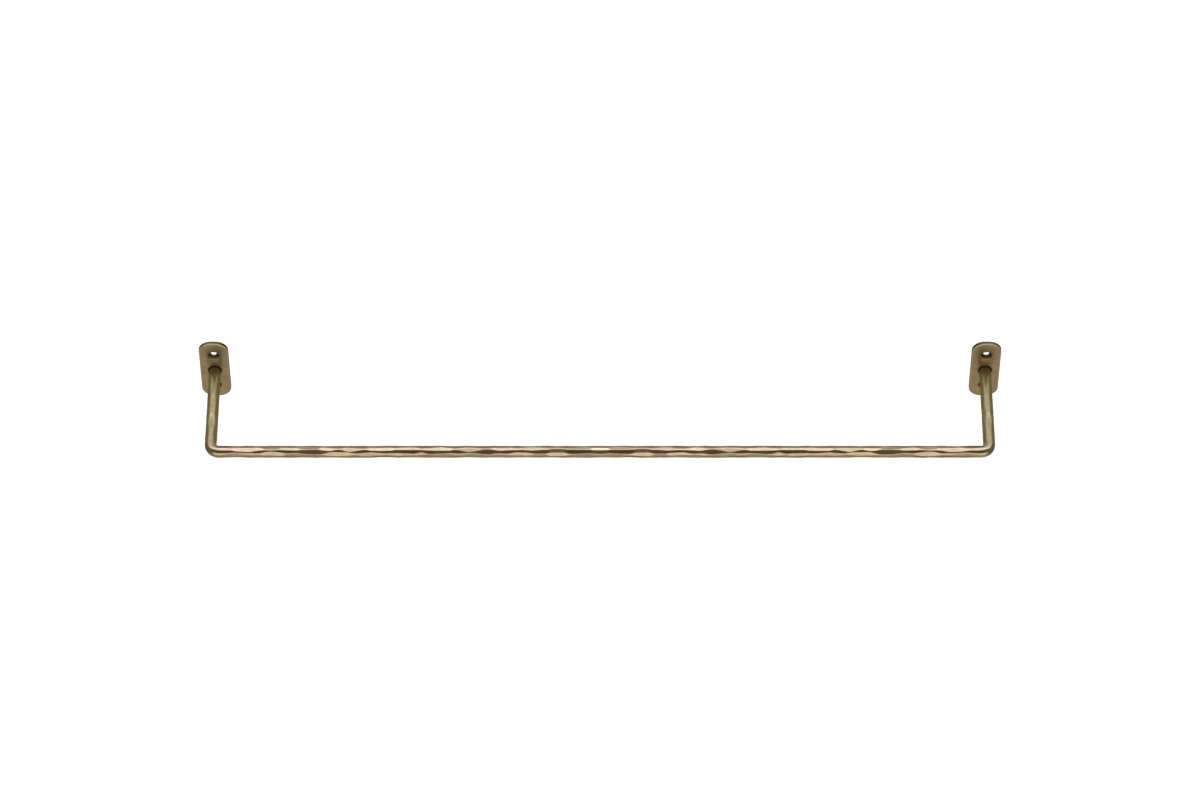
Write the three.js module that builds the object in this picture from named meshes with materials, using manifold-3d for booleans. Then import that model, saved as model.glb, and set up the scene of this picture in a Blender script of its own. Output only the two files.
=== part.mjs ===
// A wall-mounted towel rack in hammered brass: one round rod, bent forward at both ends into a
// square U, whose two arm ends are screwed from behind to a pair of small round-cornered wall plates.
//
// Units are millimetres. +Z is up and +X runs along the bar, to the right for someone facing the wall.
// The wall is the plane y = 0 and the rack reaches into the room along -Y. The origin is on the wall,
// midway between the plates, at the height of the arms.

import * as THREE from "three";
import { mergeVertices } from "three/addons/utils/BufferGeometryUtils.js";
import Module from "manifold-3d";

const wasm = await Module();
wasm.setup();

// ---------------------------------------------------------------- driving dimensions
const armCentres = 610; // between the centre lines of the two arms: 24 in
const rodDiameter = 9.5; // 3/8 in round bar
const overallReach = 89; // from the wall to the front of the bar: 3 1/2 in
const bendRadius = 7; // of the rod's centre line: a tight forged corner

const plate = { width: 23.2, height: 66, thickness: 3, corner: 10, frontEdge: 1.2 };
const mountingHole = { spacing: 37, diameter: 4.5, mouth: 9 }; // one above and one below each arm
const seat = { diameter: rodDiameter + 2, depth: 0.6 }; // shallow pocket that locates the arm's end
const armScrew = { diameter: 4, headDiameter: 7.5, length: 14, slotWidth: 1, slotDepth: 0.9 };
const headBelowBack = 0.2; // how far the screw's head lies below the plate's back, clear of the wall
const clearance = { thread: 0.1, head: 0.1, armEnd: 0.05 }; // gaps between pieces that bear on each other

// ---------------------------------------------------------------- what follows from them
const rodRadius = rodDiameter / 2;
const armX = armCentres / 2;
const barY = -(overallReach - rodRadius);
const armEndY = -(plate.thickness - seat.depth + clearance.armEnd);
const roundSides = 48; // facets round a hole, a screw or a pocket
const rodSides = 32;
const bendSteps = 10; // straight runs of the centre line in each bend
const past = 2; // how far a cutter runs beyond the metal

// ---------------------------------------------------------------- materials
const brass = new THREE.MeshStandardMaterial({ color: 0xa2906f, roughness: 0.34, metalness: 1 });
const plateBrass = new THREE.MeshStandardMaterial({ color: 0x998868, roughness: 0.4, metalness: 1 });
const screwBrass = new THREE.MeshStandardMaterial({ color: 0xad9c77, roughness: 0.38, metalness: 1 });

// ---------------------------------------------------------------- solids and booleans
function solid(geometry) {
  const bare = geometry.clone();
  bare.deleteAttribute("normal");
  bare.deleteAttribute("uv");
  const merged = mergeVertices(bare, 1e-4);
  return new wasm.Manifold(
    new wasm.Mesh({
      numProp: 3,
      vertProperties: new Float32Array(merged.attributes.position.array),
      triVerts: new Uint32Array(merged.index.array),
    }),
  );
}

function geometryOf(body) {
  const mesh = body.getMesh();
  const geometry = new THREE.BufferGeometry();
  geometry.setAttribute("position", new THREE.BufferAttribute(mesh.vertProperties, 3));
  geometry.setIndex(new THREE.BufferAttribute(mesh.triVerts, 1));
  geometry.computeVertexNormals();
  return geometry;
}

// A turned shape about the Y axis. Each profile point is [radius, y], listed with y rising.
function turned(profile) {
  const points = profile.map(([radius, y]) => new THREE.Vector2(radius, y));
  return new THREE.LatheGeometry(points, roundSides);
}

// A drilled hole that opens into a 90 degree countersink. `mouthY` is the face it is sunk from and
// `into` is +1 or -1, the way the drill travels along Y. Both ends run past the metal.
function countersunkHole(holeDiameter, mouthDiameter, mouthY, into) {
  const sink = (mouthDiameter - holeDiameter) / 2;
  const profile = [
    [0, mouthY - into * past],
    [mouthDiameter / 2, mouthY - into * past],
    [mouthDiameter / 2, mouthY],
    [holeDiameter / 2, mouthY + into * sink],
    [holeDiameter / 2, mouthY + into * (plate.thickness + past)],
    [0, mouthY + into * (plate.thickness + past)],
  ];
  return turned(into > 0 ? profile : profile.reverse());
}

// ---------------------------------------------------------------- the rod
// Its centre line, from the left arm's end forward to the bar, across, and back to the right arm's
// end. The parameter counts stations, so that the straight runs take one step and a bend takes many.
class RodCentreLine extends THREE.Curve {
  constructor() {
    super();
    const cornerX = armX - bendRadius;
    const cornerY = barY + bendRadius;
    this.stations = [new THREE.Vector3(-armX, armEndY, 0)];
    for (const side of [-1, 1]) {
      for (let i = 0; i <= bendSteps; i++) {
        const turn = (i / bendSteps) * (Math.PI / 2);
        const angle = side < 0 ? turn : Math.PI / 2 - turn; // from the arm on the left, to it on the right
        const x = side * (cornerX + bendRadius * Math.cos(angle));
        const y = cornerY - bendRadius * Math.sin(angle);
        this.stations.push(new THREE.Vector3(x, y, 0));
      }
    }
    this.stations.push(new THREE.Vector3(armX, armEndY, 0));
  }

  get steps() {
    return this.stations.length - 1;
  }

  getPoint(t) {
    const place = t * this.steps;
    const i = Math.min(Math.floor(place + 1e-9), this.steps - 1);
    return this.stations[i].clone().lerp(this.stations[i + 1], place - i);
  }

  // At a station the tangent halves the angle between the runs on its two sides.
  getTangent(t) {
    const i = Math.round(t * this.steps);
    const before = this.stations[Math.max(i - 1, 0)];
    const here = this.stations[i];
    const after = this.stations[Math.min(i + 1, this.steps)];
    const arriving = here.clone().sub(before).normalize();
    const leaving = after.clone().sub(here).normalize();
    return arriving.add(leaving).normalize();
  }

  getPointAt(u) {
    return this.getPoint(u);
  }

  getTangentAt(u) {
    return this.getTangent(u);
  }
}

function rodGeometry() {
  const section = new THREE.Shape();
  for (let i = 0; i < rodSides; i++) {
    const angle = (2 * Math.PI * i) / rodSides;
    const [x, y] = [rodRadius * Math.cos(angle), rodRadius * Math.sin(angle)];
    if (i === 0) section.moveTo(x, y);
    else section.lineTo(x, y);
  }
  const line = new RodCentreLine();
  return new THREE.ExtrudeGeometry(section, { steps: line.steps, extrudePath: line });
}

function makeRod() {
  let rod = solid(rodGeometry());
  const boreRadius = armScrew.diameter / 2 + clearance.thread;
  const boreDepth = armScrew.length; // deeper than the tip reaches, because the head is in the plate
  const bore = new THREE.CylinderGeometry(boreRadius, boreRadius, 2 * boreDepth, roundSides);
  for (const side of [-1, 1]) {
    rod = rod.subtract(solid(bore.clone().translate(side * armX, armEndY, 0)));
  }
  const mesh = new THREE.Mesh(geometryOf(rod), brass);
  mesh.name = "hammered_rod";
  return mesh;
}

// ---------------------------------------------------------------- a wall plate
// Drawn flat in the XZ plane with its back at y = 0, then pierced for the arm and the wall screws.
function plateBlank() {
  const { width, height, thickness, corner, frontEdge } = plate;
  const [w, h] = [width / 2 - frontEdge, height / 2 - frontEdge];
  const r = corner - frontEdge; // the bevel below grows the outline back to its full size
  const outline = new THREE.Shape();
  outline.moveTo(w, -h + r);
  outline.absarc(w - r, h - r, r, 0, Math.PI / 2);
  outline.absarc(-w + r, h - r, r, Math.PI / 2, Math.PI);
  outline.absarc(-w + r, -h + r, r, Math.PI, 1.5 * Math.PI);
  outline.absarc(w - r, -h + r, r, 1.5 * Math.PI, 2 * Math.PI);
  const blank = new THREE.ExtrudeGeometry(outline, {
    depth: thickness,
    curveSegments: 10,
    bevelThickness: frontEdge,
    bevelSize: frontEdge,
    bevelSegments: 4,
  });
  blank.rotateX(Math.PI / 2); // the extrusion now runs towards the room, along -Y
  blank.translate(0, frontEdge, 0);
  // The extrusion is rounded at both ends. Cutting off everything behind the wall plane leaves the
  // back flat, with sharp edges, and keeps the rounding at the front.
  const behindDepth = 2 * (thickness + frontEdge);
  const behind = new THREE.BoxGeometry(2 * width, behindDepth, 2 * height);
  behind.translate(0, behindDepth / 2, 0);
  return solid(blank).subtract(solid(behind));
}

function makePlate(name) {
  const front = -plate.thickness;
  let body = plateBlank();
  for (const end of [-1, 1]) {
    const hole = countersunkHole(mountingHole.diameter, mountingHole.mouth, front, 1);
    body = body.subtract(solid(hole.translate(0, 0, (end * mountingHole.spacing) / 2)));
  }
  const seatPocket = new THREE.CylinderGeometry(
    seat.diameter / 2, seat.diameter / 2, 2 * seat.depth, roundSides);
  body = body.subtract(solid(seatPocket.translate(0, front, 0)));
  const screwHole = armScrew.diameter + 2 * clearance.thread;
  const screwMouth = armScrew.headDiameter + 2 * (headBelowBack + clearance.head);
  body = body.subtract(solid(countersunkHole(screwHole, screwMouth, 0, -1)));
  const mesh = new THREE.Mesh(geometryOf(body), plateBrass);
  mesh.name = name;
  return mesh;
}

// ---------------------------------------------------------------- the screw that holds an arm
// A slotted countersunk machine screw, its head just below the plate's back, threaded into the arm.
// Its thread is drawn as a plain cylinder at the outside diameter.
function makeArmScrew(name) {
  const radius = armScrew.diameter / 2;
  const headRadius = armScrew.headDiameter / 2;
  const headFace = -headBelowBack;
  const tipChamfer = 0.6;
  const tip = headFace - armScrew.length;
  const body = turned([
    [0, tip],
    [radius - tipChamfer, tip],
    [radius, tip + tipChamfer],
    [radius, headFace - (headRadius - radius)],
    [headRadius, headFace],
    [0, headFace],
  ]);
  const slotLength = 2 * (headRadius + past);
  const slot = new THREE.BoxGeometry(slotLength, 2 * armScrew.slotDepth, armScrew.slotWidth);
  const slotted = solid(body).subtract(solid(slot.translate(0, headFace, 0)));
  const mesh = new THREE.Mesh(geometryOf(slotted), screwBrass);
  mesh.name = name;
  return mesh;
}

// ---------------------------------------------------------------- assembly
const towelRack = new THREE.Group();
towelRack.add(makeRod());
for (const [side, x] of [["left", -armX], ["right", armX]]) {
  const end = new THREE.Group();
  end.position.x = x;
  end.add(makePlate(`wall_plate_${side}`));
  end.add(makeArmScrew(`arm_screw_${side}`));
  towelRack.add(end);
}

export default towelRack;
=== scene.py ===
import math
import random

import bmesh
import bpy
from mathutils import Matrix, Vector


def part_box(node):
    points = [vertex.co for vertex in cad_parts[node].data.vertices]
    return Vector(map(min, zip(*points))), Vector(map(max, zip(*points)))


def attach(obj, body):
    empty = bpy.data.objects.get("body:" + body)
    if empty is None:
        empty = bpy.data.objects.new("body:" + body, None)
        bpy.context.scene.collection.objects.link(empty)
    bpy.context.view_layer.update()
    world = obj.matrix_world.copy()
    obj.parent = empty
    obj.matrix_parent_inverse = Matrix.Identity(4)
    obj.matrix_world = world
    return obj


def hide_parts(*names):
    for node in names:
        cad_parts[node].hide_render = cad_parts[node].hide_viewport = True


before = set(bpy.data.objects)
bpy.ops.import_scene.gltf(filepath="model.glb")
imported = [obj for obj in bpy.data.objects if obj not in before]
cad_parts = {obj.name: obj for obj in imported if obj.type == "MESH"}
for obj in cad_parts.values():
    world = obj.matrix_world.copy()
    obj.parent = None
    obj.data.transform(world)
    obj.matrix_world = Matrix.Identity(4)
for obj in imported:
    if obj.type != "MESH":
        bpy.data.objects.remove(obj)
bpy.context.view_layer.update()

MM = 0.001

# ------------------------------------------------------------------ where the rack is, and the camera
# The origin is on the wall, midway between the plates, with +Z up and the room along -Y. The rod's
# own box gives the places that the rest is made from.
rod_low, rod_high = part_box("hammered_rod")
rod_radius = (rod_high.z - rod_low.z) / 2
arm_x = rod_high.x - rod_radius
bar_y = rod_low.y + rod_radius
arm_end_y = rod_high.y

# The camera stands high in front of the rack and looks down on it from a little over four metres.
LOOKS_DOWN = math.radians(52)
CAMERA_DISTANCE = 4.133
LENS = 158.4
ABOVE_BAR = 40.5 * MM  # the bar lies this far below the middle of the view

camera_sight = Vector((0, math.cos(LOOKS_DOWN), -math.sin(LOOKS_DOWN)))
camera_up = Vector((0, math.sin(LOOKS_DOWN), math.cos(LOOKS_DOWN)))
camera_data = bpy.data.cameras.new("camera")
camera_data.lens = LENS
camera_data.clip_end = 100
camera = bpy.data.objects.new("camera", camera_data)
camera.location = Vector((0, bar_y, 0)) + camera_up * ABOVE_BAR - camera_sight * CAMERA_DISTANCE
camera.rotation_euler = camera_sight.to_track_quat("-Z", "Y").to_euler()
bpy.context.scene.collection.objects.link(camera)
bpy.context.scene.camera = camera
bpy.context.scene.view_settings.view_transform = "Standard"


# ------------------------------------------------------------------ studio: floor and light
# A plain white floor well under the rack, a soft light overhead, a soft glow from the front, and a dim
# warm room all round. The floor isn't mirrored in the brass, so the lights alone give it its shine.
def add(tree, kind, settings=None, links=None):
    """One node with its settings. links gives its inputs: a node, one of its sockets or a fixed value."""
    made = tree.nodes.new(kind)
    for name, value in (settings or {}).items():
        setattr(made, name, value)
    for name, value in (links or {}).items():
        if isinstance(value, bpy.types.Node):
            value = next(socket for socket in value.outputs if socket.enabled)
        if isinstance(value, bpy.types.NodeSocket):
            tree.links.new(value, made.inputs[name])
        else:
            made.inputs[name].default_value = value
    return made


def linear(code, alpha=1.0):
    """A colour's sRGB hex code as linear red, green, blue and alpha."""
    parts = [int(code[i : i + 2], 16) / 255 for i in (1, 3, 5)]
    return [p / 12.92 if p <= 0.04045 else ((p + 0.055) / 1.055) ** 2.4 for p in parts] + [alpha]


FLOOR_DROP = 1.2  # the rack hangs about this far above the floor
FLOOR_SIZE = 14.0
# How bright the studio is, going round the rack from low behind it, under it, to the front, and up
# and over its top. Each is: degrees up from straight in front, and linear red, green and blue.
ROUND_THE_RACK = [
    (-180, (0.52, 0.46, 0.37)), (-150, (0.42, 0.37, 0.29)), (-128, (0.27, 0.23, 0.165)),
    (-92, (0.34, 0.29, 0.215)), (-52, (0.78, 0.74, 0.63)), (-32, (0.82, 0.78, 0.69)),
    (-16, (0.92, 0.88, 0.78)), (-3, (1.72, 1.67, 1.52)), (8, (2.08, 2.02, 1.88)),
    (18, (1.25, 1.19, 1.08)), (30, (0.58, 0.52, 0.42)), (42, (0.30, 0.245, 0.165)),
    (56, (0.21, 0.16, 0.10)), (70, (0.31, 0.25, 0.17)), (82, (0.80, 0.76, 0.72)),
    (93, (2.75, 2.80, 3.05)), (107, (2.75, 2.80, 3.05)), (119, (1.30, 1.25, 1.22)),
    (134, (1.00, 0.95, 0.90)), (155, (0.66, 0.60, 0.54)), (172, (0.54, 0.48, 0.40)),
]
BRIGHTEST = 3.2
DIM_ROOM = (0.30, 0.28, 0.19)
SIDEWAYS_FROM, SIDEWAYS_TO = 0.50, 0.86  # the lights fade out to the sides, where the room is dim

world = bpy.data.worlds.new("studio")
bpy.context.scene.world = world
world.use_nodes = True
tree = world.node_tree
tree.nodes.clear()
way = add(tree, "ShaderNodeTexCoord").outputs["Generated"]
parts = add(tree, "ShaderNodeSeparateXYZ", links={0: way})
toward = add(tree, "ShaderNodeMath", {"operation": "MULTIPLY"}, {0: parts.outputs["Y"], 1: -1.0})
over = add(tree, "ShaderNodeMath", {"operation": "ARCTAN2"}, {0: parts.outputs["Z"], 1: toward})
share = add(tree, "ShaderNodeMapRange", links={0: over, 1: -math.pi, 2: math.pi})
ramp = add(tree, "ShaderNodeValToRGB", links={0: share})
stops = ramp.color_ramp
stops.interpolation = "EASE"
for i, (degrees, light) in enumerate(ROUND_THE_RACK):
    place = (degrees + 180) / 360
    stop = stops.elements[i] if i < 2 else stops.elements.new(place)
    stop.position = place
    stop.color = [part / BRIGHTEST for part in light] + [1]
aside = add(tree, "ShaderNodeMath", {"operation": "ABSOLUTE"}, {0: parts.outputs["X"]})
fade = add(tree, "ShaderNodeMapRange", {"interpolation_type": "SMOOTHSTEP"},
           {0: aside, 1: SIDEWAYS_FROM, 2: SIDEWAYS_TO})
dim = [part / BRIGHTEST for part in DIM_ROOM] + [1]
studio_light = add(tree, "ShaderNodeMix", {"data_type": "RGBA"}, {"Factor": fade, 6: ramp, 7: dim})
lit = add(tree, "ShaderNodeBackground", links={"Color": studio_light, "Strength": BRIGHTEST})
plain = add(tree, "ShaderNodeBackground", links={"Color": (1, 1, 1, 1)})
seen = add(tree, "ShaderNodeLightPath").outputs["Is Camera Ray"]
mixed = add(tree, "ShaderNodeMixShader", links={0: seen, 1: lit, 2: plain})
add(tree, "ShaderNodeOutputWorld", links={0: mixed})

# Matt white paint: it only has to be pale and even under the rack.
paint = bpy.data.materials.new("white_studio_floor")
paint.use_nodes = True
shader = paint.node_tree.nodes["Principled BSDF"]
shader.inputs["Base Color"].default_value = linear("#f7f7f6")
shader.inputs["Roughness"].default_value = 0.9
shader.inputs["Emission Color"].default_value = linear("#ffffff")
shader.inputs["Emission Strength"].default_value = 0.25
floor_mesh = bpy.data.meshes.new("floor")
half = FLOOR_SIZE / 2
corners = [(-half, -half), (half, -half), (half, half), (-half, half)]
floor_mesh.from_pydata([(x, y, -FLOOR_DROP) for x, y in corners], [], [(0, 1, 2, 3)])
floor_mesh.materials.append(paint)
floor = bpy.data.objects.new("floor", floor_mesh)
bpy.context.scene.collection.objects.link(floor)
floor.visible_glossy = False

# ------------------------------------------------------------------ the hammered rod
# One round brass bar, 9.5 mm thick, bent square at both ends into two arms. Its whole surface was
# worked with a crowned hammer on a flat anvil, which leaves long shallow dents with soft ridges.
BEND_RADIUS = 7 * MM
BEND_STEPS = 24
STATION_SPACING = 0.9 * MM
ROD_SIDES = 80
RIDGE_SOFTNESS = 0.06 * MM
DEEP_DENT = 0.5 * MM  # a dent this deep is fully darkened
BORE_DIAMETER = 4.2 * MM
BORE_DEPTH = 14 * MM
BORE_SIDES = 32

# Blows that show from the front, for the left half; the right half has the same ones mirrored.
# Each is: mm from the middle of the bar, degrees up from the front of the rod, depth in mm, and the
# crown radius in mm that sets how long the dent is.
FRONT_BLOWS = [
    # upper row, which catches the overhead light
    (-295, 72, 0.20, 120), (-276, 73, 0.42, 200), (-257, 88, 0.26, 120), (-243, 81, 0.24, 180),
    (-227, 91, 0.32, 150), (-214, 75, 0.30, 110), (-194, 71, 0.36, 130), (-171, 77, 0.32, 190),
    (-151, 80, 0.30, 170), (-127, 77, 0.44, 150), (-100, 70, 0.42, 190), (-76, 80, 0.28, 190),
    (-52, 82, 0.28, 220), (-33, 63, 0.36, 120), (-16, 85, 0.32, 150), (0, 77, 0.22, 120),
    # middle row, which faces the camera and looks dark
    (-296, 56, 0.20, 150), (-268, 54, 0.16, 90), (-246, 56, 0.18, 300), (-224, 48, 0.46, 230),
    (-205, 56, 0.17, 200), (-187, 53, 0.22, 130), (-170, 55, 0.17, 260), (-151, 54, 0.40, 190),
    (-128, 51, 0.38, 190), (-110, 53, 0.18, 160), (-89, 50, 0.46, 170), (-72, 52, 0.24, 120),
    (-58, 55, 0.18, 260), (-46, 51, 0.34, 130), (-17, 54, 0.46, 190), (0, 51, 0.30, 200),
    # lower row, which catches the glow from the front
    (-287, 19, 0.26, 200), (-256, 30, 0.42, 130), (-238, 17, 0.26, 200), (-206, 29, 0.42, 190),
    (-180, 24, 0.30, 220), (-154, 26, 0.28, 120), (-140, 32, 0.24, 50), (-122, 16, 0.28, 180),
    (-98, 18, 0.30, 170), (-82, 33, 0.18, 40), (-62, 29, 0.32, 160), (-46, 17, 0.22, 110),
    (-34, 30, 0.40, 120), (-12, 17, 0.30, 180),
]
# All in mm: where the rows of blows start and stop, and how far every second row is set off.
BAR_ROW_START = 9
BAR_ROW_SHIFT = 11
BAR_ROW_STOP = 8
ARM_ROW_START = 2
ARM_ROW_SHIFT = 10
ARM_ROW_STOP = 22
rng = random.Random(11)
blows = []
for x, angle, depth, crown in FRONT_BLOWS:
    blows.append((x, angle, depth, crown))
    blows.append((-x, angle, depth, crown))

# Every other side of the bar: rows of blows a hammer's width apart, each row set off from the next.
half_bar = arm_x / MM
for row, angle in enumerate((-8, -40, -72, -104, -136, -168, 164, 138, 112)):
    x = -half_bar + BAR_ROW_START + BAR_ROW_SHIFT * (row % 2)
    while x < half_bar - BAR_ROW_STOP:
        blows.append((x, angle + rng.uniform(-10, 10), rng.uniform(0.18, 0.38), rng.uniform(130, 220)))
        x += rng.uniform(15, 23)
# The arms and the bends were dressed more lightly, apart from one firm blow on top of each arm.
half_path = half_bar + abs(bar_y) / MM
for side in (-1, 1):
    blows.append((side * (half_bar + 25), 86, 0.48, 60))
    for row in range(8):
        along = half_bar + ARM_ROW_START + ARM_ROW_SHIFT * (row % 2)
        while along < half_path - ARM_ROW_STOP:
            blows.append((side * along, row * 45 + rng.uniform(-14, 14),
                          rng.uniform(0.08, 0.24), rng.uniform(120, 220)))
            along += rng.uniform(15, 24)

blow_mesh = bpy.data.meshes.new("blows")
blow_mesh.from_pydata([(0, 0, 0)] * len(blows), [], [])
BLOW_VALUES = (("station", MM), ("angle", math.pi / 180), ("depth", MM), ("crown", MM))
for column, (name, unit) in enumerate(BLOW_VALUES):
    values = blow_mesh.attributes.new(name, "FLOAT", "POINT")
    values.data.foreach_set("value", [blow[column] * unit for blow in blows])
blow_points = bpy.data.objects.new("blows", blow_mesh)

# The centre line before it is bent: left arm's end, two corners, right arm's end.
line_mesh = bpy.data.meshes.new("rod")
line_places = [(-arm_x, arm_end_y, 0), (-arm_x, bar_y, 0), (arm_x, bar_y, 0), (arm_x, arm_end_y, 0)]
line_mesh.from_pydata(line_places, [(0, 1), (1, 2), (2, 3)], [])
rod_line = bpy.data.objects.new("rod_line", line_mesh)
bpy.context.scene.collection.objects.link(rod_line)

tree = bpy.data.node_groups.new("hammered_rod", "GeometryNodeTree")
tree.is_modifier = True
for name, kind in (("Centre line", "NodeSocketGeometry"), ("Blows", "NodeSocketObject"),
                   ("Rod radius", "NodeSocketFloat"), ("Bend radius", "NodeSocketFloat"),
                   ("Station spacing", "NodeSocketFloat"), ("Sides", "NodeSocketInt"),
                   ("Ridge softness", "NodeSocketFloat"), ("Bore radius", "NodeSocketFloat"),
                   ("Bore depth", "NodeSocketFloat"), ("Brass", "NodeSocketMaterial")):
    tree.interface.new_socket(name, in_out="INPUT", socket_type=kind)
tree.interface.new_socket("Rod", in_out="OUTPUT", socket_type="NodeSocketGeometry")
given = add(tree, "NodeGroupInput").outputs

# The round bar, bent: every station keeps its distance from the middle, its centre and its heading.
straight = add(tree, "GeometryNodeMeshToCurve", links={"Mesh": given["Centre line"]})
bent = add(tree, "GeometryNodeFilletCurve", {"mode": "POLY"},
           {"Curve": straight, "Radius": given["Bend radius"], "Count": BEND_STEPS})
stations = add(tree, "GeometryNodeResampleCurve", {"mode": "LENGTH"},
               {"Curve": bent, "Length": given["Station spacing"]})
marked = add(tree, "GeometryNodeSetCurveNormal", {"mode": "Z_UP"}, {"Curve": stations})
length_along = add(tree, "GeometryNodeSplineParameter").outputs["Length"]
whole_length = add(tree, "GeometryNodeSplineLength").outputs["Length"]
half_length = add(tree, "ShaderNodeMath", {"operation": "MULTIPLY"}, {0: whole_length, 1: 0.5})
from_middle = add(tree, "ShaderNodeMath", {"operation": "SUBTRACT"}, {0: length_along, 1: half_length})
here = add(tree, "GeometryNodeInputPosition")
heading = add(tree, "GeometryNodeInputTangent")
for name, kind, value in (("station", "FLOAT", from_middle), ("centre", "FLOAT_VECTOR", here),
                          ("heading", "FLOAT_VECTOR", heading)):
    marked = add(tree, "GeometryNodeStoreNamedAttribute", {"data_type": kind},
                 {"Geometry": marked, "Name": name, "Value": value})
ring = add(tree, "GeometryNodeCurvePrimitiveCircle",
           links={"Resolution": given["Sides"], "Radius": given["Rod radius"]})
tube = add(tree, "GeometryNodeCurveToMesh",
           links={"Curve": marked, "Profile Curve": ring, "Fill Caps": True})

kept = {}
for name, kind in (("station", "FLOAT"), ("centre", "FLOAT_VECTOR"), ("heading", "FLOAT_VECTOR"),
                   ("around", "FLOAT"), ("reach", "FLOAT"), ("sharp", "FLOAT")):
    kept[name] = add(tree, "GeometryNodeInputNamedAttribute", {"data_type": kind}, {"Name": name})

# How far round the rod each spot is, from 0 at its front or outer side to 90 degrees on top.
outward = add(tree, "ShaderNodeVectorMath", {"operation": "SUBTRACT"}, {0: here, 1: kept["centre"]})
outer_side = add(tree, "ShaderNodeVectorMath", {"operation": "CROSS_PRODUCT"},
                 {0: kept["heading"], 1: (0, 0, 1)})
to_front = add(tree, "ShaderNodeVectorMath", {"operation": "DOT_PRODUCT"}, {0: outward, 1: outer_side})
to_top = add(tree, "ShaderNodeSeparateXYZ", links={0: outward}).outputs["Z"]
around = add(tree, "ShaderNodeMath", {"operation": "ARCTAN2"}, {0: to_top, 1: to_front.outputs["Value"]})
for name, value in (("around", around), ("reach", given["Rod radius"]), ("sharp", given["Rod radius"])):
    tube = add(tree, "GeometryNodeStoreNamedAttribute", {"data_type": "FLOAT"},
               {"Geometry": tube, "Name": name, "Value": value})

# One turn of the loop strikes one blow: a flat across the rod, hollowed lengthways by the crown.
hammer = add(tree, "GeometryNodeObjectInfo", links={"Object": given["Blows"]}).outputs["Geometry"]
blow_count = add(tree, "GeometryNodeAttributeDomainSize", {"component": "MESH"}, {"Geometry": hammer})
start = add(tree, "GeometryNodeRepeatInput")
end = add(tree, "GeometryNodeRepeatOutput")
start.pair_with_output(end)
tree.links.new(blow_count.outputs["Point Count"], start.inputs["Iterations"])
tree.links.new(tube.outputs["Geometry"], start.inputs["Geometry"])
blow = {}
for name, unit in BLOW_VALUES:
    value = add(tree, "GeometryNodeInputNamedAttribute", {"data_type": "FLOAT"}, {"Name": name})
    blow[name] = add(tree, "GeometryNodeSampleIndex", {"data_type": "FLOAT", "domain": "POINT"},
                     {"Geometry": hammer, "Value": value, "Index": start.outputs["Iteration"]})
apart = add(tree, "ShaderNodeMath", {"operation": "SUBTRACT"}, {0: kept["station"], 1: blow["station"]})
apart_squared = add(tree, "ShaderNodeMath", {"operation": "MULTIPLY"}, {0: apart, 1: apart})
crown_across = add(tree, "ShaderNodeMath", {"operation": "MULTIPLY"}, {0: blow["crown"], 1: 2.0})
hollow = add(tree, "ShaderNodeMath", {"operation": "DIVIDE"}, {0: apart_squared, 1: crown_across})
floor_of_dent = add(tree, "ShaderNodeMath", {"operation": "SUBTRACT"},
                    {0: given["Rod radius"], 1: blow["depth"]})
level = add(tree, "ShaderNodeMath", {"operation": "ADD"}, {0: floor_of_dent, 1: hollow})
turned_by = add(tree, "ShaderNodeMath", {"operation": "SUBTRACT"}, {0: kept["around"], 1: blow["angle"]})
cosine = add(tree, "ShaderNodeMath", {"operation": "COSINE"}, {0: turned_by})
squareness = add(tree, "ShaderNodeMath", {"operation": "MAXIMUM"}, {0: cosine, 1: 0.2})
cut = add(tree, "ShaderNodeMath", {"operation": "DIVIDE"}, {0: level, 1: squareness})
soft_cut = add(tree, "ShaderNodeMath", {"operation": "SMOOTH_MIN"},
               {0: kept["reach"], 1: cut, 2: given["Ridge softness"]})
hard_cut = add(tree, "ShaderNodeMath", {"operation": "MINIMUM"}, {0: kept["sharp"], 1: cut})
struck = start.outputs["Geometry"]
for name, value in (("reach", soft_cut), ("sharp", hard_cut)):
    struck = add(tree, "GeometryNodeStoreNamedAttribute", {"data_type": "FLOAT"},
                 {"Geometry": struck, "Name": name, "Value": value})
tree.links.new(struck.outputs["Geometry"], end.inputs["Geometry"])

unit_out = add(tree, "ShaderNodeVectorMath", {"operation": "NORMALIZE"}, {0: outward})
moved = add(tree, "ShaderNodeVectorMath", {"operation": "SCALE"}, {0: unit_out, "Scale": kept["reach"]})
place = add(tree, "ShaderNodeVectorMath", {"operation": "ADD"}, {0: kept["centre"], 1: moved})
shaped = add(tree, "GeometryNodeSetPosition",
             links={"Geometry": end.outputs["Geometry"], "Position": place})

# What the finish reads: the rod as if it were straight, how deep each spot was struck, and the ridges.
across = []
for operation in ("COSINE", "SINE"):
    turn = add(tree, "ShaderNodeMath", {"operation": operation}, {0: kept["around"]})
    across.append(add(tree, "ShaderNodeMath", {"operation": "MULTIPLY"}, {0: turn, 1: given["Rod radius"]}))
laid_out = add(tree, "ShaderNodeCombineXYZ", links={0: kept["station"], 1: across[0], 2: across[1]})
softened = add(tree, "ShaderNodeMath", {"operation": "SUBTRACT"}, {0: kept["sharp"], 1: kept["reach"]})
ridge = add(tree, "ShaderNodeMath", {"operation": "DIVIDE"}, {0: softened, 1: given["Ridge softness"]})
struck_depth = add(tree, "ShaderNodeMath", {"operation": "SUBTRACT"},
                   {0: given["Rod radius"], 1: kept["reach"]})
dent = add(tree, "ShaderNodeMath", {"operation": "DIVIDE"}, {0: struck_depth, 1: DEEP_DENT})
for name, kind, value in (("along_rod", "FLOAT_VECTOR", laid_out), ("ridge", "FLOAT", ridge),
                          ("dent", "FLOAT", dent)):
    shaped = add(tree, "GeometryNodeStoreNamedAttribute", {"data_type": kind},
                 {"Geometry": shaped, "Name": name, "Value": value})

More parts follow.
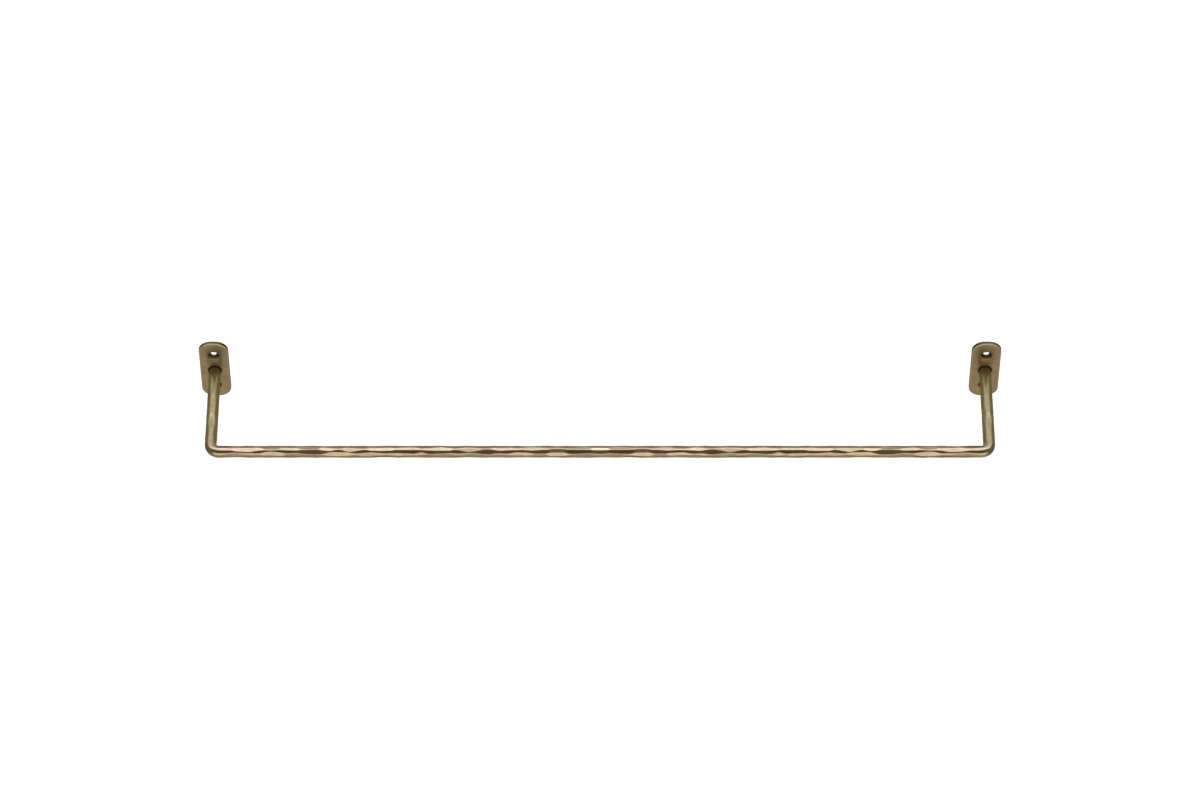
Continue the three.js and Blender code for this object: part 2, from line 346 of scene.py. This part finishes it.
# The screw holes bored up into both arms.
bored_through = add(tree, "ShaderNodeMath", {"operation": "MULTIPLY"}, {0: given["Bore depth"], 1: 2.0})
drill = add(tree, "GeometryNodeMeshCylinder",
            links={"Vertices": BORE_SIDES, "Radius": given["Bore radius"], "Depth": bored_through})
arm_ends = add(tree, "GeometryNodeCurveEndpointSelection")
drills = add(tree, "GeometryNodeInstanceOnPoints",
             links={"Points": straight, "Selection": arm_ends, "Instance": drill,
                    "Rotation": (math.pi / 2, 0, 0)})
drills = add(tree, "GeometryNodeRealizeInstances", links={0: drills})
bored = add(tree, "GeometryNodeMeshBoolean", {"operation": "DIFFERENCE", "solver": "MANIFOLD"},
            {"Mesh 1": shaped, "Mesh 2": drills})
smooth = add(tree, "GeometryNodeSetShadeSmooth", links={"Geometry": bored, "Shade Smooth": True})
corner = add(tree, "GeometryNodeInputMeshEdgeAngle").outputs["Unsigned Angle"]
hard_edge = add(tree, "FunctionNodeCompare", {"operation": "GREATER_THAN"}, {0: corner, 1: math.radians(50)})
smooth = add(tree, "GeometryNodeSetShadeSmooth", {"domain": "EDGE"},
             {"Geometry": smooth, "Selection": hard_edge, "Shade Smooth": False})
for name in kept:
    smooth = add(tree, "GeometryNodeRemoveAttribute", links={"Geometry": smooth, "Name": name})
whole = add(tree, "GeometryNodeRealizeInstances", links={0: smooth})
coated = add(tree, "GeometryNodeSetMaterial", links={"Geometry": whole, "Material": given["Brass"]})
add(tree, "NodeGroupOutput", links={0: coated})

# Antique brass, hammered, darkened by hand and rubbed back: satin, with olive and warm brown passages,
# darker in the dents and brighter on the ridges where the cloth has rubbed. The arms are duller and
# more olive than the bar, because hands and cloths polish the bar.
BROAD_TONE = 30 * MM
MOTTLE = 5 * MM
GRAIN = 0.9 * MM

rod_brass = bpy.data.materials.new("antique_brass_hammered")
rod_brass.use_nodes = True
nodes = rod_brass.node_tree
shader = nodes.nodes["Principled BSDF"]
shader.inputs["Metallic"].default_value = 1.0
along = add(nodes, "ShaderNodeAttribute", {"attribute_name": "along_rod"}).outputs["Vector"]
dent = add(nodes, "ShaderNodeAttribute", {"attribute_name": "dent"}).outputs["Fac"]
ridge = add(nodes, "ShaderNodeAttribute", {"attribute_name": "ridge"}).outputs["Fac"]
station = add(nodes, "ShaderNodeSeparateXYZ", links={0: along}).outputs["X"]
from_middle = add(nodes, "ShaderNodeMath", {"operation": "ABSOLUTE"}, {0: station})
on_arm = add(nodes, "ShaderNodeMapRange", links={0: from_middle, 1: arm_x - 8 * MM, 2: arm_x + 24 * MM})
broad = add(nodes, "ShaderNodeTexNoise", links={"Vector": along, "Scale": 1 / BROAD_TONE, "Detail": 2.0})
warmth = add(nodes, "ShaderNodeMapRange", links={0: broad, 1: 0.40, 2: 0.62})
bar_colour = add(nodes, "ShaderNodeMix", {"data_type": "RGBA"},
                 {"Factor": warmth, 6: linear("#a39679"), 7: linear("#a68f7b")})
arm_colour = add(nodes, "ShaderNodeMix", {"data_type": "RGBA"},
                 {"Factor": warmth, 6: linear("#9d9470"), 7: linear("#a08f6e")})
# Painted highlight: the arm is lighter just past the bend and fades along it, partly more polish there and
# partly a painted highlight.
polish_and_highlight_fade = add(nodes, "ShaderNodeMapRange",
                    links={0: from_middle, 1: arm_x + 18 * MM, 2: arm_x + 62 * MM, 3: 0.0, 4: 1.0})
arm_colour = add(nodes, "ShaderNodeMix", {"data_type": "RGBA"},
                 {"Factor": polish_and_highlight_fade, 6: linear("#b1a680"), 7: arm_colour})
colour = add(nodes, "ShaderNodeMix", {"data_type": "RGBA"},
             {"Factor": on_arm, 6: bar_colour, 7: arm_colour})
mottle = add(nodes, "ShaderNodeTexNoise", links={"Vector": along, "Scale": 1 / MOTTLE, "Detail": 4.0})
patch = add(nodes, "ShaderNodeMapRange", links={0: mottle, 1: 0.35, 2: 0.7, 3: 0.0, 4: 0.40})
mottled = add(nodes, "ShaderNodeMix", {"data_type": "RGBA"},
              {"Factor": patch, 6: colour, 7: linear("#857459")})
in_dents = add(nodes, "ShaderNodeMapRange", links={0: dent, 1: 0.15, 2: 0.95, 3: 0.0, 4: 0.30})
darkened = add(nodes, "ShaderNodeMix", {"data_type": "RGBA"},
               {"Factor": in_dents, 6: mottled, 7: linear("#7b6a50")})
rub = add(nodes, "ShaderNodeMapRange", links={0: ridge, 1: 0.02, 2: 0.2, 3: 0.0, 4: 0.5})
rubbed = add(nodes, "ShaderNodeMix", {"data_type": "RGBA"},
             {"Factor": rub, 6: darkened, 7: linear("#bdab8e")})
nodes.links.new(rubbed.outputs[2], shader.inputs["Base Color"])
dull = add(nodes, "ShaderNodeMapRange", links={0: on_arm, 3: 0.09, 4: 0.25})
uneven = add(nodes, "ShaderNodeMapRange", links={0: mottle, 1: 0.3, 2: 0.7, 3: 0.0, 4: 0.07})
rough = add(nodes, "ShaderNodeMath", {"operation": "ADD"}, {0: dull, 1: uneven})
nodes.links.new(rough.outputs[0], shader.inputs["Roughness"])
grain = add(nodes, "ShaderNodeTexNoise", links={"Vector": along, "Scale": 1 / GRAIN, "Detail": 3.0})
bump = add(nodes, "ShaderNodeBump", links={"Height": grain, "Strength": 0.09, "Distance": 0.01 * MM})
nodes.links.new(bump.outputs[0], shader.inputs["Normal"])


def set_inputs(modifier, values):
    """Gives a tree's named inputs their values, by each socket's own identifier."""
    for item in modifier.node_group.interface.items_tree:
        if item.item_type == "SOCKET" and item.in_out == "INPUT" and item.name in values:
            modifier[item.identifier] = values[item.name]


def baked(source, name):
    """A plain mesh object from what the source's modifiers make; the source is removed."""
    bpy.context.view_layer.update()
    seen_whole = source.evaluated_get(bpy.context.evaluated_depsgraph_get())
    mesh = bpy.data.meshes.new_from_object(seen_whole)
    mesh.name = name
    piece = bpy.data.objects.new(name, mesh)
    bpy.context.scene.collection.objects.link(piece)
    bpy.data.objects.remove(source)
    return piece


hammering = rod_line.modifiers.new("hammering", "NODES")
hammering.node_group = tree
set_inputs(hammering, {"Blows": blow_points, "Rod radius": rod_radius, "Bend radius": BEND_RADIUS,
                       "Station spacing": STATION_SPACING, "Sides": ROD_SIDES,
                       "Ridge softness": RIDGE_SOFTNESS, "Bore radius": BORE_DIAMETER / 2,
                       "Bore depth": BORE_DEPTH, "Brass": rod_brass})
rod = baked(rod_line, "rod")
bpy.data.objects.remove(blow_points)
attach(rod, "root")
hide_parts("hammered_rod")

# ------------------------------------------------------------------ the wall plates
# Two small plates sawn from flat brass, their corners and front edges filed round. Each is drilled for
# two countersunk wall screws, and has a shallow seat in front and a screw hole behind for its arm.
PLATE_CORNER = 10 * MM
FRONT_EDGE = 1.2 * MM
BACK_EDGE = 0.25 * MM
CORNER_STEPS = 14
EDGE_STEPS = 8
WALL_HOLES_APART = 37 * MM
WALL_HOLE = 4.5 * MM
WALL_MOUTH = 9.0 * MM
SEAT = 11.5 * MM
SEAT_DEPTH = 0.6 * MM
ARM_HOLE = 4.2 * MM
ARM_MOUTH = 8.1 * MM
EASED = 0.15 * MM  # every drilled edge is broken by about this much
PAST = 2 * MM  # how far a bit runs beyond the metal
ROUND_SIDES = 64
SLIVER = 0.002 * MM  # drilling leaves corners closer together than this, which are drawn into one

plate_low, plate_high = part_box("wall_plate_left")
plate_width = plate_high.x - plate_low.x
plate_height = plate_high.z - plate_low.z
plate_thickness = plate_high.y - plate_low.y


def rounded_outline(inset):
    """Corners of the plate's outline, brought in by inset, as (x, z) pairs."""
    radius = PLATE_CORNER - inset
    reach_x = plate_width / 2 - PLATE_CORNER
    reach_z = plate_height / 2 - PLATE_CORNER
    found = []
    for quarter, (side_x, side_z) in enumerate(((1, 1), (-1, 1), (-1, -1), (1, -1))):
        for i in range(CORNER_STEPS + 1):
            angle = (quarter + i / CORNER_STEPS) * math.pi / 2
            found.append((side_x * reach_x + radius * math.cos(angle),
                          side_z * reach_z + radius * math.sin(angle)))
    return found


def closed_rings(name, rings):
    """A closed mesh from rings of points, each ring joined to the next and both end rings filled."""
    bm = bmesh.new()
    made = [[bm.verts.new(point) for point in ring] for ring in rings]
    for low, high in zip(made, made[1:]):
        for i, corner in enumerate(low):
            after = (i + 1) % len(low)
            bm.faces.new((corner, low[after], high[after], high[i]))
    bm.faces.new(made[0][::-1])
    bm.faces.new(made[-1])
    bmesh.ops.recalc_face_normals(bm, faces=bm.faces)
    mesh = bpy.data.meshes.new(name)
    bm.to_mesh(mesh)
    bm.free()
    return mesh


def plate_blank():
    """The filed plate before drilling: from the back edge, up the side and over the front edge."""
    steps = [(0.0, BACK_EDGE), (-BACK_EDGE, 0.0)]
    for i in range(EDGE_STEPS + 1):
        angle = i / EDGE_STEPS * math.pi / 2
        y = -(plate_thickness - FRONT_EDGE) - FRONT_EDGE * math.sin(angle)
        steps.append((y, FRONT_EDGE * (1 - math.cos(angle))))
    return closed_rings("blank", [[(x, y, z) for x, z in rounded_outline(inset)] for y, inset in steps])


def drill_bit(profile):
    """A closed solid turned about the Y axis, from a list of (radius, y) pairs."""
    turns = [2 * math.pi * i / ROUND_SIDES for i in range(ROUND_SIDES)]
    return closed_rings("bit", [[(r * math.cos(t), y, r * math.sin(t)) for t in turns] for r, y in profile])


def countersink(hole, mouth, face_y, into):
    """Outline of a hole with a 90 degree countersink at face_y, drilled along Y in the sense of into."""
    sink = (mouth - hole) / 2
    far_face = face_y + into * plate_thickness
    return [
        (mouth / 2 + 2 * EASED, face_y - into * PAST),
        (mouth / 2 + 2 * EASED, face_y - into * EASED * 0.2),
        (mouth / 2 + EASED, face_y + into * EASED * 0.15),
        (mouth / 2 - EASED, face_y + into * EASED),
        (hole / 2, face_y + into * sink),
        (hole / 2, far_face - into * EASED),
        (hole / 2 + EASED, far_face),
        (hole / 2 + EASED, far_face + into * PAST),
    ]


front_y = -plate_thickness
seat_outline = [
    (SEAT / 2 + EASED, front_y - PAST), (SEAT / 2 + EASED, front_y),
    (SEAT / 2, front_y + EASED), (SEAT / 2, front_y + SEAT_DEPTH),
]
cuts = [
    (countersink(WALL_HOLE, WALL_MOUTH, front_y, 1), WALL_HOLES_APART / 2),
    (countersink(WALL_HOLE, WALL_MOUTH, front_y, 1), -WALL_HOLES_APART / 2),
    (seat_outline, 0),
    (countersink(ARM_HOLE, ARM_MOUTH, 0, -1), 0),
]

# Antique brass plate: sawn and filed, darkened, then rubbed on its flat faces and rounded edge, so
# they are a soft satin. The rounded edge is painted lighter, partly rubbed brass and partly a painted
# highlight, the warm line of light it shows. The sawn sides are dark green-brown, and on the side towards
# the bar's middle they are painted nearly black: that is painted shade.
TONE_PATCH = 16 * MM
SMOKE_PATCH = 4 * MM
FILE_MARK = 0.7 * MM
FILE_STRETCH = 0.12  # the file was drawn up and down the plate, so its marks are long that way

plate_brass = bpy.data.materials.new("antique_brass_filed_plate")
plate_brass.use_nodes = True
nodes = plate_brass.node_tree
shader = nodes.nodes["Principled BSDF"]
shader.inputs["Metallic"].default_value = 1.0
place = add(nodes, "ShaderNodeTexCoord").outputs["Object"]
where = add(nodes, "ShaderNodeSeparateXYZ", links={0: place}).outputs
broad = add(nodes, "ShaderNodeTexNoise", links={"Vector": place, "Scale": 1 / TONE_PATCH, "Detail": 3.0})
warmth = add(nodes, "ShaderNodeMapRange", links={0: broad, 1: 0.38, 2: 0.62})
colour = add(nodes, "ShaderNodeMix", {"data_type": "RGBA"},
             {"Factor": warmth, 6: linear("#a3936f"), 7: linear("#a18a70")})
smoke = add(nodes, "ShaderNodeTexNoise", links={"Vector": place, "Scale": 1 / SMOKE_PATCH, "Detail": 5.0})
patch = add(nodes, "ShaderNodeMapRange", links={0: smoke, 1: 0.4, 2: 0.7, 3: 0.0, 4: 0.3})
smoked = add(nodes, "ShaderNodeMix", {"data_type": "RGBA"},
             {"Factor": patch, 6: colour, 7: linear("#7b6a4e")})
# Painted highlight: the rounded front edge is painted lighter, partly rubbed brass and partly the warm line
# of light it catches.
rim_rub_and_painted_highlight = add(nodes, "ShaderNodeMapRange",
               links={0: where["Y"], 1: front_y + 0.01 * FRONT_EDGE, 2: front_y + 0.12 * FRONT_EDGE,
                      3: 0.0, 4: 0.85})
rimmed = add(nodes, "ShaderNodeMix", {"data_type": "RGBA"},
             {"Factor": rim_rub_and_painted_highlight, 6: smoked, 7: linear("#cdb69c")})
out_from_middle = add(nodes, "ShaderNodeMath", {"operation": "ABSOLUTE"}, {0: where["X"]})
# Painted shade: the plate's side towards the bar's middle is painted nearly black.
painted_inner_shade = add(nodes, "ShaderNodeMapRange",
            links={0: out_from_middle, 1: arm_x + 3 * MM, 2: arm_x - 7 * MM, 3: 0.0, 4: 1.0})
sawn_side_and_painted_shade = add(nodes, "ShaderNodeMix", {"data_type": "RGBA"},
           {"Factor": painted_inner_shade, 6: linear("#575440"), 7: linear("#2b2512")})
behind_front_edge = add(nodes, "ShaderNodeMapRange",
               links={0: where["Y"], 1: front_y + 0.35 * FRONT_EDGE, 2: front_y + 0.8 * FRONT_EDGE,
                      3: 0.0, 4: 0.95})
before_back = add(nodes, "ShaderNodeMapRange",
                  links={0: where["Y"], 1: -BACK_EDGE, 2: -0.1 * BACK_EDGE, 3: 1.0, 4: 0.0})
on_side = add(nodes, "ShaderNodeMath", {"operation": "MULTIPLY"}, {0: behind_front_edge, 1: before_back})
finish = add(nodes, "ShaderNodeMix", {"data_type": "RGBA"}, {"Factor": on_side, 6: rimmed, 7: sawn_side_and_painted_shade})
nodes.links.new(finish.outputs[2], shader.inputs["Base Color"])
rough = add(nodes, "ShaderNodeMapRange", links={0: smoke, 1: 0.3, 2: 0.7, 3: 0.38, 4: 0.48})
nodes.links.new(rough.outputs[0], shader.inputs["Roughness"])
file_way = add(nodes, "ShaderNodeMapping", links={"Vector": place, "Scale": (1.0, 1.0, FILE_STRETCH)})
marks = add(nodes, "ShaderNodeTexNoise", links={"Vector": file_way, "Scale": 1 / FILE_MARK, "Detail": 3.0})
bump = add(nodes, "ShaderNodeBump", links={"Height": marks, "Strength": 0.15, "Distance": 0.01 * MM})
nodes.links.new(bump.outputs[0], shader.inputs["Normal"])

# The same brass inside the drilled holes and the seat. The cloth only reaches their mouths, so it is
# brown at the face and turns dull and nearly black-brown just inside: partly patina left in the holes,
# partly painted shade in them.
HOLE_STAIN = 1.5 * MM
RUBBED_MOUTH = 0.5 * MM

hole_brass = bpy.data.materials.new("antique_brass_drilled_patina_and_painted_shade")
hole_brass.use_nodes = True
nodes = hole_brass.node_tree
shader = nodes.nodes["Principled BSDF"]
shader.inputs["Metallic"].default_value = 1.0
shader.inputs["Roughness"].default_value = 0.45
place = add(nodes, "ShaderNodeTexCoord").outputs["Object"]
stain = add(nodes, "ShaderNodeTexNoise", links={"Vector": place, "Scale": 1 / HOLE_STAIN, "Detail": 3.0})
# Painted shade and patina: the inside of each hole is nearly black-brown.
dark_patina_and_painted_shade = add(nodes, "ShaderNodeMix", {"data_type": "RGBA"},
                {"Factor": stain, 6: linear("#332a16"), 7: linear("#5d4c30")})
where = add(nodes, "ShaderNodeSeparateXYZ", links={0: place}).outputs
inside = add(nodes, "ShaderNodeMapRange", links={0: where["Y"], 1: front_y, 2: front_y + RUBBED_MOUTH})
colour = add(nodes, "ShaderNodeMix", {"data_type": "RGBA"},
             {"Factor": inside, 6: linear("#8b7858"), 7: dark_patina_and_painted_shade})
nodes.links.new(colour.outputs[2], shader.inputs["Base Color"])

for side, x in (("left", -arm_x), ("right", arm_x)):
    blank = bpy.data.objects.new("blank", plate_blank())
    blank.data.materials.append(plate_brass)
    bpy.context.scene.collection.objects.link(blank)
    bits = []
    for profile, z in cuts:
        bit = bpy.data.objects.new("bit", drill_bit(profile))
        bit.data.transform(Matrix.Translation((0, 0, z)))
        bit.data.materials.append(hole_brass)
        bpy.context.scene.collection.objects.link(bit)
        drilling = blank.modifiers.new("drilling", "BOOLEAN")
        drilling.operation = "DIFFERENCE"
        drilling.solver = "EXACT"
        drilling.material_mode = "TRANSFER"
        drilling.object = bit
        bits.append(bit)
    plate = baked(blank, f"plate_{side}")
    for bit in bits:
        bpy.data.objects.remove(bit)
    bm = bmesh.new()
    bm.from_mesh(plate.data)
    bmesh.ops.remove_doubles(bm, verts=bm.verts, dist=SLIVER)
    bmesh.ops.dissolve_degenerate(bm, edges=bm.edges, dist=SLIVER)
    bm.to_mesh(plate.data)
    bm.free()
    plate.data.transform(Matrix.Translation((x, 0, 0)))
    plate.data.shade_smooth()
    plate.data.set_sharp_from_angle(angle=math.radians(32))
    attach(plate, "root")
    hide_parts(f"wall_plate_{side}")

# ------------------------------------------------------------------ the screws that hold the arms
# Two slotted M4 brass machine screws, turned from bar, with countersunk heads. Each goes in from behind
# the plate and up into its arm, and its head lies just below the plate's back, clear of the wall.
SCREW_DIAMETER = 4 * MM
THREAD_PITCH = 0.7 * MM
THREAD_DEPTH = 0.4 * MM
STEPS_PER_TURN = 8
SCREW_SIDES = 48
TIP_CHAMFER = 0.6 * MM
HEAD_LAND = 0.2 * MM  # the thin straight rim round the head
SLOT_WIDTH = 1.0 * MM
SLOT_DEPTH = 0.9 * MM

screw_low, screw_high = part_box("arm_screw_left")
screw_length = screw_high.y - screw_low.y
head_radius = (screw_high.z - screw_low.z) / 2

tree = bpy.data.node_groups.new("arm_screw", "GeometryNodeTree")
tree.is_modifier = True
for name, kind in (("Geometry", "NodeSocketGeometry"), ("Length", "NodeSocketFloat"),
                   ("Head radius", "NodeSocketFloat"), ("Head land", "NodeSocketFloat"),
                   ("Thread radius", "NodeSocketFloat"), ("Thread depth", "NodeSocketFloat"),
                   ("Pitch", "NodeSocketFloat"), ("Rings", "NodeSocketInt"),
                   ("Tip chamfer", "NodeSocketFloat"), ("Slot width", "NodeSocketFloat"),
                   ("Slot depth", "NodeSocketFloat"), ("Brass", "NodeSocketMaterial")):
    tree.interface.new_socket(name, in_out="INPUT", socket_type=kind)
tree.interface.new_socket("Screw", in_out="OUTPUT", socket_type="NodeSocketGeometry")
given = add(tree, "NodeGroupInput").outputs

# A plain bar standing on end, its top the face of the head; every ring is then brought to its radius.
bar = add(tree, "GeometryNodeMeshCylinder",
          links={"Vertices": SCREW_SIDES, "Side Segments": given["Rings"],
                 "Radius": given["Head radius"], "Depth": given["Length"]})
here = add(tree, "GeometryNodeInputPosition")
spot = add(tree, "ShaderNodeSeparateXYZ", links={0: here}).outputs
half_length = add(tree, "ShaderNodeMath", {"operation": "MULTIPLY"}, {0: given["Length"], 1: 0.5})
below_face = add(tree, "ShaderNodeMath", {"operation": "SUBTRACT"}, {0: half_length, 1: spot["Z"]})
# 45 degrees in from the rim of the head
below_land = add(tree, "ShaderNodeMath", {"operation": "SUBTRACT"}, {0: below_face, 1: given["Head land"]})
sunk = add(tree, "ShaderNodeMath", {"operation": "MAXIMUM"}, {0: below_land, 1: 0.0})
cone = add(tree, "ShaderNodeMath", {"operation": "SUBTRACT"}, {0: given["Head radius"], 1: sunk})
# the thread rises and falls once in each pitch, and winds once round in the same distance
bearing = add(tree, "ShaderNodeMath", {"operation": "ARCTAN2"}, {0: spot["Y"], 1: spot["X"]})
part_turn = add(tree, "ShaderNodeMath", {"operation": "DIVIDE"}, {0: bearing, 1: 2 * math.pi})
turns = add(tree, "ShaderNodeMath", {"operation": "DIVIDE"}, {0: below_face, 1: given["Pitch"]})
wound = add(tree, "ShaderNodeMath", {"operation": "ADD"}, {0: turns, 1: part_turn})
rise = add(tree, "ShaderNodeMath", {"operation": "PINGPONG"}, {0: wound, 1: 0.5})
groove = add(tree, "ShaderNodeMath", {"operation": "MULTIPLY"}, {0: rise, 1: given["Thread depth"]})
groove = add(tree, "ShaderNodeMath", {"operation": "MULTIPLY"}, {0: groove, 1: 2.0})
threaded = add(tree, "ShaderNodeMath", {"operation": "SUBTRACT"}, {0: given["Thread radius"], 1: groove})
body = add(tree, "ShaderNodeMath", {"operation": "MAXIMUM"}, {0: cone, 1: threaded})
# and the tip is turned down
above_tip = add(tree, "ShaderNodeMath", {"operation": "SUBTRACT"}, {0: given["Length"], 1: below_face})
tip_radius = add(tree, "ShaderNodeMath", {"operation": "SUBTRACT"},
                 {0: given["Thread radius"], 1: given["Tip chamfer"]})
tip = add(tree, "ShaderNodeMath", {"operation": "ADD"}, {0: tip_radius, 1: above_tip})
radius = add(tree, "ShaderNodeMath", {"operation": "MINIMUM"}, {0: body, 1: tip})
narrowed = add(tree, "ShaderNodeMath", {"operation": "DIVIDE"}, {0: radius, 1: given["Head radius"]})
shrink = add(tree, "ShaderNodeCombineXYZ", links={0: narrowed, 1: narrowed, 2: 1.0})
turned_place = add(tree, "ShaderNodeVectorMath", {"operation": "MULTIPLY"}, {0: here, 1: shrink})
turned = add(tree, "GeometryNodeSetPosition", links={"Geometry": bar, "Position": turned_place})

slot_length = add(tree, "ShaderNodeMath", {"operation": "MULTIPLY"}, {0: given["Head radius"], 1: 3.0})
slot_height = add(tree, "ShaderNodeMath", {"operation": "MULTIPLY"}, {0: given["Slot depth"], 1: 2.0})
slot_size = add(tree, "ShaderNodeCombineXYZ", links={0: slot_length, 1: given["Slot width"], 2: slot_height})
slot_place = add(tree, "ShaderNodeCombineXYZ", links={2: half_length})
saw = add(tree, "GeometryNodeMeshCube", links={"Size": slot_size})
saw = add(tree, "GeometryNodeTransform", links={"Geometry": saw, "Translation": slot_place})
slotted = add(tree, "GeometryNodeMeshBoolean", {"operation": "DIFFERENCE", "solver": "MANIFOLD"},
              {"Mesh 1": turned, "Mesh 2": saw})
smooth = add(tree, "GeometryNodeSetShadeSmooth", links={"Geometry": slotted, "Shade Smooth": True})
corner = add(tree, "GeometryNodeInputMeshEdgeAngle").outputs["Unsigned Angle"]
hard_edge = add(tree, "FunctionNodeCompare", {"operation": "GREATER_THAN"}, {0: corner, 1: math.radians(30)})
smooth = add(tree, "GeometryNodeSetShadeSmooth", {"domain": "EDGE"},
             {"Geometry": smooth, "Selection": hard_edge, "Shade Smooth": False})
whole = add(tree, "GeometryNodeRealizeInstances", links={0: smooth})
coated = add(tree, "GeometryNodeSetMaterial", links={"Geometry": whole, "Material": given["Brass"]})
add(tree, "NodeGroupOutput", links={0: coated})

# Turned brass, less darkened than the rest because it is bought in: yellow, with fine turning rings
# across the head and a trace of dark in them. Real rings are finer; these are wide enough to show.
RING_WIDTH = 0.25 * MM

screw_brass = bpy.data.materials.new("turned_brass_screw")
screw_brass.use_nodes = True
nodes = screw_brass.node_tree
shader = nodes.nodes["Principled BSDF"]
shader.inputs["Metallic"].default_value = 1.0
place = add(nodes, "ShaderNodeTexCoord").outputs["Object"]
where = add(nodes, "ShaderNodeSeparateXYZ", links={0: place}).outputs
out_from_middle = add(nodes, "ShaderNodeMath", {"operation": "ABSOLUTE"}, {0: where["X"]})
off_axis = add(nodes, "ShaderNodeMath", {"operation": "SUBTRACT"}, {0: out_from_middle, 1: arm_x})
across = add(nodes, "ShaderNodeCombineXYZ", links={0: off_axis, 1: where["Z"]})
distance = add(nodes, "ShaderNodeVectorMath", {"operation": "LENGTH"}, {0: across})
rings_at = add(nodes, "ShaderNodeMath", {"operation": "DIVIDE"},
               {0: distance.outputs["Value"], 1: RING_WIDTH})
rings = add(nodes, "ShaderNodeTexNoise", {"noise_dimensions": "1D"},
            {"W": rings_at, "Scale": 1.0, "Detail": 2.0})
colour = add(nodes, "ShaderNodeMix", {"data_type": "RGBA"},
             {"Factor": rings, 6: linear("#8e7b4c"), 7: linear("#c2ad78")})
nodes.links.new(colour.outputs[2], shader.inputs["Base Color"])
rough = add(nodes, "ShaderNodeMapRange", links={0: rings, 1: 0.3, 2: 0.7, 3: 0.30, 4: 0.42})
nodes.links.new(rough.outputs[0], shader.inputs["Roughness"])
bump = add(nodes, "ShaderNodeBump", links={"Height": rings, "Strength": 0.3, "Distance": 0.01 * MM})
nodes.links.new(bump.outputs[0], shader.inputs["Normal"])

for side, x in (("left", -arm_x), ("right", arm_x)):
    blank = bpy.data.objects.new("screw_blank", bpy.data.meshes.new("screw_blank"))
    bpy.context.scene.collection.objects.link(blank)
    turning = blank.modifiers.new("turning", "NODES")
    turning.node_group = tree
    set_inputs(turning, {"Length": screw_length, "Head radius": head_radius, "Head land": HEAD_LAND,
                         "Thread radius": SCREW_DIAMETER / 2, "Thread depth": THREAD_DEPTH,
                         "Pitch": THREAD_PITCH, "Tip chamfer": TIP_CHAMFER,
                         "Rings": round(screw_length / THREAD_PITCH * STEPS_PER_TURN),
                         "Slot width": SLOT_WIDTH, "Slot depth": SLOT_DEPTH, "Brass": screw_brass})
    screw = baked(blank, f"screw_{side}")
    lying = Matrix.Rotation(-math.pi / 2, 4, "X")
    screw.data.transform(Matrix.Translation((x, screw_high.y - screw_length / 2, 0)) @ lying)
    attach(screw, "root")
    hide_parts(f"arm_screw_{side}")
